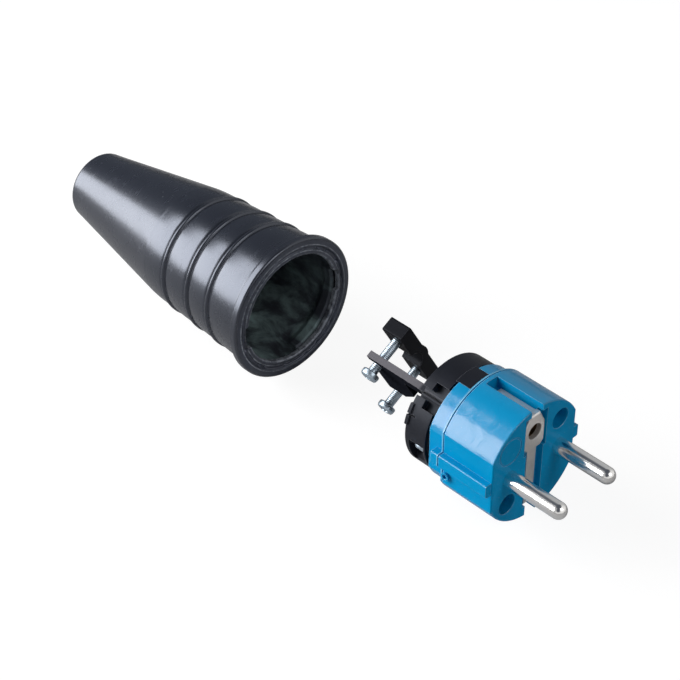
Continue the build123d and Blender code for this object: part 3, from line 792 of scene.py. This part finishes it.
def rubber_finish(size):
    """Moulded black rubber: satin skin with fine grain and dust, matt and dusty inside, its front ring
    painted lighter (scuffs and painted light) and pale lines on the ring's edges that are wear and painted
    highlights.
    """
    material, f = new_finish("hood_rubber_finish")
    inner = f.layer("inner")
    ring = f.layer("ring")
    cloud = f.noise(11 * MM, detail=4.0)
    grain = f.noise(0.35 * MM, rough=0.6)
    streaks = f.noise(5 * MM, detail=5.0, rough=0.65, stretch=(0.35, 1, 1), shift=(0.3, 0, 0))
    scuff = streaks.between(0.56, 0.74)
    rubbed_and_lit = f.noise(2.4 * MM, detail=6.0, rough=0.75, shift=(0.5, 0, 0)).between(0.40, 0.60)
    # less pale dust colour higher up: the inside is darker towards the top
    fade_upwards = 1 - f.axis("Z").between(*DUST_HEIGHTS) * DUST_LOSS
    talc = f.noise(6 * MM, detail=6.0, rough=0.62, stretch=(1.6, 1, 1), warp=0.5)
    dust = talc.between(0.36, 0.80) * fade_upwards
    skin = f.mix(cloud, *(shade(size.rubber, tone) for tone in SKIN_TONES))
    skin = f.mix(scuff * 0.35, skin, shade(size.rubber, SCUFF_TONE))
    # front ring painted lighter where scuffed: scuffs plus painted light on its face
    skin = f.mix(ring * (0.35 + scuff * 0.65), skin, shade(size.rubber, RING_SCUFF_AND_LIGHT_TONE))
    # painted highlights along the ring's edges, mixed with wear
    skin = f.mix(f.layer("wear_and_highlight") * (0.12 + rubbed_and_lit * 0.88), skin, RUBBER_WEAR_AND_HIGHLIGHT)
    skin = f.mix(f.specks(0.9 * MM, 0.03) * 0.5, skin, RUBBER_SPECK)
    within = f.mix(dust, shade(size.rubber, INSIDE_TONE), size.bloom)
    rough = (size.gloss - 0.03 + cloud * 0.06 + scuff * 0.08) * (1 - inner) + inner * INSIDE_ROUGH
    torn = f.noise(0.8 * MM, detail=4.0, rough=0.7)
    relief = grain * 0.5 + f.noise(2.2 * MM, detail=2.0) * 0.18 + ring * torn * 2.0
    f.surface({
        "Base Color": f.mix(inner, skin, within),
        "Roughness": rough + ring * RING_ROUGH,
        "Specular IOR Level": 1.0,
        "Specular Tint": RUBBER_TINT,
        "Normal": f.bump(relief, 0.05 * MM, 0.35),
    })
    return material


def blue_finish(size):
    """Blue moulding, polished on its rounds and satin on its flats.

    It has faint flow marks, painted highlights on its convex edges and along the parting line, and a fine
    grain.
    """
    material, f = new_finish("blue_plastic_finish")
    flow = f.noise(9 * MM, rough=0.5, stretch=(1, 1, 2.5))
    grain = f.noise(0.5 * MM, detail=2.0)
    along = f.axis("X")
    front, back = (along.between(x, x + PARTING_HIGHLIGHT_SOFT) for x in PARTING_HIGHLIGHT_X)
    slope = f.axis("Z", "Normal")
    colour = f.mix(flow, *(shade(size.blue, tone) for tone in FLOW_TONES))
    colour = f.mix(f.specks(0.7 * MM, 0.02) * 0.25, colour, BLUE_SPECK)
    # painted highlights on convex edges in the open
    colour = f.mix(f.edges(size.edge) * 0.85, colour, BLUE_EDGE_HIGHLIGHT)
    # painted highlight along the parting line
    colour = f.mix(front * (1 - back) * (0.25 + flow * 0.9), colour, BLUE_PARTING_HIGHLIGHT)
    sunk = f.bump(f.noise(5 * MM, rough=0.6, warp=0.8), 0.22 * MM, 0.5, f.rounded(size.edge))
    f.surface({
        "Base Color": colour,
        "Roughness": 0.15 + flow * 0.08,
        "Specular IOR Level": POLISHED,
        "Specular Tint": BLUE_TINT,
        "Normal": f.bump(grain * 0.35 + flow * 0.65, 0.03 * MM, 0.30, sunk),
    }, {"Specular IOR Level": SATIN}, 1 - (slope * slope).between(*ROUND_SLOPES))
    return material


def on_tongue(f):
    """1 on the clamp's tongue, and 1 on those of the tongue's faces that look along the clamp bar."""
    tongue = 1 - f.axis("X").between(TONGUE_ROOT, TONGUE_ROOT + TONGUE_SOFT)
    upward = f.dot(f.coords("Normal"), tuple(-CLAMP_ACROSS))
    return tongue, tongue * upward.between(*TONGUE_SLOPES)


def black_finish(name, size, tone, gloss, rubbed_and_lit=False):
    """Satin black moulding with a fine grain, scuffs and painted highlights on convex edges; on request its
    tongue is dull, with a painted highlight on its faces that look along the clamp bar.
    """
    material, f = new_finish(name)
    cloud = f.noise(6 * MM, detail=4.0)
    grain = f.noise(0.28 * MM, detail=2.0, rough=0.6)
    scuff = f.noise(2.4 * MM, detail=5.0, rough=0.7, stretch=(1, 2.5, 2.5)).between(0.58, 0.78)
    colour = f.mix(cloud, *(shade(size.black, k * tone) for k in BLACK_TONES))
    colour = f.mix(scuff * 0.25, colour, shade(size.black, BLACK_SCUFF * tone))
    # painted highlights on convex edges in the open
    colour = f.mix(f.edges(size.edge) * 0.7, colour, BLACK_EDGE_HIGHLIGHT)
    tongue = None
    if rubbed_and_lit:
        tongue, edge = on_tongue(f)
        # painted highlight on the tongue's faces that look along the clamp bar
        colour = f.mix(edge * (0.6 + grain * 0.5), colour, TONGUE_PAINTED_HIGHLIGHT)
    f.surface({
        "Base Color": colour,
        "Roughness": 0.38 + cloud * 0.10 + scuff * 0.12,
        "Specular IOR Level": gloss,
        "Specular Tint": BLACK_TINT,
        "Normal": f.bump(grain, 0.03 * MM, 0.45, f.rounded(size.edge)),
    }, {"Specular IOR Level": 0.0} if rubbed_and_lit else None, tongue)
    return material


def metal_finish(slot, colour):
    """Plated or plain metal: stretched polishing marks in roughness and bump, and a faint darker tarnish."""
    look = METALS[slot]
    material, f = new_finish(slot + "_finish")
    marks = f.noise(look["grain"], rough=0.6, stretch=look["stretch"])
    tarnish = f.noise(3.2 * MM, detail=4.0, rough=0.6).between(0.45, 0.75) * look["tarnish"]
    f.surface({
        "Base Color": f.mix(tarnish, colour, shade(colour, TARNISH_TONE)),
        "Metallic": look.get("metallic", 1.0),
        "Roughness": look["rough"] + marks * 0.10 + tarnish * 0.2,
        "Normal": f.bump(marks, 0.012 * MM, look.get("bumpiness", 0.25), f.rounded(look["edge"])),
    })
    return material


def dress(node, material):
    """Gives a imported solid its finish."""
    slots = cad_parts[node].data.materials
    slots.clear()
    slots.append(material)


def finish_piece(piece, material, body):
    """Finishes a new piece and lets it move with its body."""
    piece.data.materials.append(material)
    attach(piece, body)


# Operators

SCREW_LOOKS = (("upper", -1, 2.4, 0.5), ("lower", 1, 4.3, 0.2))     # level, side, gap under the head, spin


class PLUG_OT_rubber_hood(bpy.types.Operator):
    """Builds the rubber hood's skin with its beads, lip, keyways, ledges and pits"""

    bl_idname = "plug.rubber_hood"
    bl_label = "Rubber hood"

    def execute(self, context):
        size = context.scene.plug_hood
        hood = make_hood(size)
        finish_piece(hood, rubber_finish(size), "hood")
        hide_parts("rubber_hood")
        return {"FINISHED"}


class PLUG_OT_blue_body(bpy.types.Operator):
    """Finishes the blue front body"""

    bl_idname = "plug.blue_body"
    bl_label = "Blue front body"

    def execute(self, context):
        dress("front_body", blue_finish(context.scene.plug_mouldings))
        return {"FINISHED"}


class PLUG_OT_black_mouldings(bpy.types.Operator):
    """Finishes the terminal carrier and the clamp saddle"""

    bl_idname = "plug.black_mouldings"
    bl_label = "Black mouldings"

    def execute(self, context):
        size = context.scene.plug_mouldings
        # the carrier's tongue is dull, with a painted highlight on its faces that look along the clamp bar
        carrier = black_finish("carrier_black_finish", size, tone=2.0, gloss=0.22, rubbed_and_lit=True)
        saddle = black_finish("saddle_black_finish", size, tone=0.8, gloss=0.10)
        dress("terminal_carrier", carrier)
        dress("clamp_saddle", saddle)
        return {"FINISHED"}


class PLUG_OT_contact_pins(bpy.types.Operator):
    """Finishes the two contact pins in polished nickel"""

    bl_idname = "plug.contact_pins"
    bl_label = "Contact pins"

    def execute(self, context):
        nickel = metal_finish("pin_nickel", context.scene.plug_metal.nickel)
        for node in ("contact_pin_left", "contact_pin_right"):
            dress(node, nickel)
        return {"FINISHED"}


class PLUG_OT_earth_contact(bpy.types.Operator):
    """Finishes the earth strip and socket and adds the split spring inside the earth hole"""

    bl_idname = "plug.earth_contact"
    bl_label = "Earth contact"

    def execute(self, context):
        size = context.scene.plug_metal
        # the brass colour carries painted shade for the inside of the earth hole and its spring
        shaded_brass = metal_finish("earth_brass", size.shaded_brass)
        dress("earth_strip", metal_finish("earth_metal", size.strip))
        dress("earth_socket", shaded_brass)
        finish_piece(make_earth_spring(), shaded_brass, "insert")
        return {"FINISHED"}


class PLUG_OT_screws(bpy.types.Operator):
    """Builds the two threaded clamp screws and finishes every screw in bluish zinc"""

    bl_idname = "plug.screws"
    bl_label = "Screws"

    def execute(self, context):
        size = context.scene.plug_metal
        zinc = metal_finish("screw_zinc", size.zinc)
        for node in ("terminal_screw_left", "terminal_screw_right", "earth_screw"):
            dress(node, zinc)
        for level, side, gap, spin in SCREW_LOOKS:
            dress("assembly_screw_" + level, zinc)
            screw = make_clamp_screw("clamp_screw_threaded_" + level, side, gap, spin, size.thread_pitch)
            finish_piece(screw, zinc, "insert")
            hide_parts("clamp_screw_" + level)
        return {"FINISHED"}


# Stage

CAMERA_PLACE = (222.61 * MM, -281.93 * MM, 315.29 * MM)
CAMERA_RIGHT = (0.6918, 0.7221, -0.0022)
CAMERA_UP = (-0.4407, 0.4247, 0.7908)
CAMERA_FOCAL = 1827.7 / 680         # focal length as a share of the picture's width
CAMERA_CLIP = (0.01, 50.0)
SENSOR = 36.0
SOFTBOXES = (                       # width, height and shift of the two softboxes in their shared plane
    ("softbox_low", 0.825, 0.575, (-0.037, -0.163)),
    ("softbox_high", 0.320, 0.325, (0.030, 0.288)),
)
SOFTBOX_TOWARDS = (-0.70, -0.55, 0.45)
SOFTBOX_TARGET = (-0.07, 0.0, 0.0)
SOFTBOX_FAR = 0.85
SOFTBOX_ROLL = math.radians(28.6)
FILL_TOWARDS = (0.75, 0.10, 0.66)
FILL_TARGET = (-0.02, 0.0, 0.0)
FILL_FAR = 1.1
FILL_SIDE = 0.5
FLOOR_REACH = 4000.0
SHEET_SHIFT = (0.05, 0.0, 0.0)      # pale sheet that the floor is to all but the camera's rays
SHEET_FADE = (0.20, 0.60)
SHEET_TONES = (0.70, 0.16)
SHOWN_TONE = 0.20                   # floor to the camera: a dim one that takes shadows, and plain white
SHOWN_WHITE = 0.90
ROOM_REAR = (0.18, 0.20, 0.24)
ROOM_SIDE = (0.50, 0.51, 0.52)
ROOM_FRONT = (0.85, 0.85, 0.85)
ROOM_DARK = (0.08, 0.09, 0.11)
ROOM_BLUE = 1.02                    # blue share of the room's own light
REAR_FADE = (-0.60, -0.40)
FRONT_FADE = (-0.2, 0.5)
CEILING_FADE = (0.80, 0.88)
DOOR = (0.45, -0.60, 0.66)
DOOR_FADE = (0.88, 0.94)


def unit(vector):
    """Vector of length 1."""
    return np.array(vector, float) / np.linalg.norm(vector)


def stand(obj, axes, place):
    """Puts an object at a place, with its own axes along the given ones, and links it to the scene."""
    turn = np.eye(4)
    turn[:3, :3] = np.stack(axes, -1)
    turn[:3, 3] = place
    obj.matrix_world = Matrix(turn.tolist())
    bpy.context.scene.collection.objects.link(obj)


def place_camera():
    """Camera at the photograph's viewing angle, looking along right x up."""
    data = bpy.data.cameras.new("camera")
    data.sensor_width = SENSOR
    data.lens = CAMERA_FOCAL * SENSOR
    data.clip_start, data.clip_end = CAMERA_CLIP
    camera = bpy.data.objects.new("camera", data)
    right = unit(CAMERA_RIGHT)
    back = unit(np.cross(right, CAMERA_UP))
    stand(camera, (right, np.cross(back, right), back), CAMERA_PLACE)
    bpy.context.scene.camera = camera


def place_lamp(name, towards, target, distance, width, height, power, roll=0.0, shift=(0.0, 0.0)):
    """Rectangular softbox in the given direction from the target, facing it, and shifted in its own plane."""
    data = bpy.data.lights.new(name, "AREA")
    data.shape = "RECTANGLE"
    data.size = width
    data.size_y = height
    data.energy = power
    back = unit(towards)
    level = unit(np.cross((0.0, 0.0, 1.0), back))
    rise = np.cross(back, level)
    side = math.cos(roll) * level + math.sin(roll) * rise
    up = math.cos(roll) * rise - math.sin(roll) * level
    place = np.array(target) + distance * back + shift[0] * side + shift[1] * up
    stand(bpy.data.objects.new(name, data), (side, up, back), place)


def place_lamps(size):
    """The two softboxes, which share a plane, and the fill lamp before the pins."""
    for name, width, height, shift in SOFTBOXES:
        power = size.key * width * height
        place_lamp(
            name, SOFTBOX_TOWARDS, SOFTBOX_TARGET, SOFTBOX_FAR, width, height, power, SOFTBOX_ROLL, shift)
    place_lamp("fill", FILL_TOWARDS, FILL_TARGET, FILL_FAR, FILL_SIDE, FILL_SIDE, size.fill)


def make_floor(size):
    """White floor with faint shadows to the camera, and a pale sheet that fades outwards to other rays."""
    drop = CAD_BOX[0].z / MM
    signs = ((-1, -1), (1, -1), (1, 1), (-1, 1))
    corners = np.array([(x * FLOOR_REACH, y * FLOOR_REACH, drop) for x, y in signs])
    floor = put_mesh("floor", corners, [np.array([[0, 1, 2, 3]])])
    material, f = new_finish("floor_finish")
    middle = f.place(shift=SHEET_SHIFT)
    away = f.node("ShaderNodeVectorMath", {"operation": "LENGTH"}, {0: middle}, out="Value")
    sheet = f.mix(away.between(*SHEET_FADE), *(shade(size.floor, tone) for tone in SHEET_TONES))
    pale = f.node("ShaderNodeBsdfDiffuse", None, {"Color": sheet})
    dim = f.node("ShaderNodeBsdfDiffuse", None, {"Color": (*shade(size.floor, SHOWN_TONE), 1.0)})
    white = f.node("ShaderNodeEmission", None, {"Color": (1, 1, 1, 1), "Strength": SHOWN_WHITE})
    shown = f.node("ShaderNodeAddShader", None, {0: dim, 1: white})
    camera_ray = f.node("ShaderNodeLightPath", out="Is Camera Ray")
    mixed = f.node("ShaderNodeMixShader", None, {0: camera_ray, 1: pale, 2: shown})
    f.node("ShaderNodeOutputMaterial", None, {"Surface": mixed})
    floor.data.materials.append(material)


def make_room(scene, size):
    """World: white to the camera, an even dim grey as light, and a studio's walls in reflections.

    The walls brighten from the rear to the front, and are dark overhead and in one patch, the door.
    """
    world = bpy.data.worlds.new("room")
    world.use_nodes = True
    scene.world = world
    f = Finish(world.node_tree)
    forward = f.axis("X", "Generated")
    ceiling = f.axis("Z", "Generated").between(*CEILING_FADE)
    door = f.dot(f.coords("Generated"), DOOR).between(*DOOR_FADE)
    walls = f.mix(forward.between(*REAR_FADE), ROOM_REAR, ROOM_SIDE)
    walls = f.mix(forward.between(*FRONT_FADE), walls, ROOM_FRONT)
    walls = f.mix(ceiling.larger(door), walls, ROOM_DARK)
    grey = (size.ambient, size.ambient, size.ambient * ROOM_BLUE)
    camera_ray, glossy, through = (
        f.node("ShaderNodeLightPath", out=f"Is {kind} Ray") for kind in ("Camera", "Glossy", "Transmission"))
    seen = camera_ray.larger(glossy).larger(through)
    colour = f.mix(camera_ray, f.mix(seen, grey, walls), (1.0, 1.0, 1.0))
    background = f.node("ShaderNodeBackground", None, {"Color": colour, "Strength": 1.0})
    f.node("ShaderNodeOutputWorld", None, {"Surface": background})


class PLUG_OT_stage(bpy.types.Operator):
    """Builds the floor, the soft lamps, the room and the camera"""

    bl_idname = "plug.stage"
    bl_label = "Stage"

    def execute(self, context):
        size = context.scene.plug_stage
        make_floor(size)
        place_lamps(size)
        make_room(context.scene, size)
        place_camera()
        context.scene.view_settings.view_transform = "Standard"
        return {"FINISHED"}


class PLUG_PT_panel(bpy.types.Panel):
    """Lists the plug's settings and operators"""

    bl_idname = "PLUG_PT_panel"
    bl_label = "Mains plug"
    bl_space_type = "VIEW_3D"
    bl_region_type = "UI"
    bl_category = "Plug"

    def draw(self, context):
        for name, group in GROUPS.items():
            box = self.layout.box()
            for key in group.__annotations__:
                box.prop(getattr(context.scene, name), key)
        for operator in OPERATORS:
            self.layout.operator(operator.bl_idname)


GROUPS = {
    "plug_hood": HoodSettings,
    "plug_mouldings": MouldingSettings,
    "plug_metal": MetalSettings,
    "plug_stage": StageSettings,
}
OPERATORS = (
    PLUG_OT_stage,
    PLUG_OT_rubber_hood,
    PLUG_OT_blue_body,
    PLUG_OT_black_mouldings,
    PLUG_OT_contact_pins,
    PLUG_OT_earth_contact,
    PLUG_OT_screws,
)


def register():
    """Registers the settings, operators and panel."""
    for name, group in GROUPS.items():
        bpy.utils.register_class(group)
        setattr(bpy.types.Scene, name, bpy.props.PointerProperty(type=group))
    for made in (*OPERATORS, PLUG_PT_panel):
        bpy.utils.register_class(made)


def unregister():
    """Removes the panel, operators and settings."""
    for made in (PLUG_PT_panel, *reversed(OPERATORS)):
        bpy.utils.unregister_class(made)
    for name, group in GROUPS.items():
        delattr(bpy.types.Scene, name)
        bpy.utils.unregister_class(group)


def main():
    """Runs every operator in order."""
    register()
    for operator in OPERATORS:
        family, name = operator.bl_idname.split(".")
        getattr(getattr(bpy.ops, family), name)()


if __name__ == "__main__":
    main()
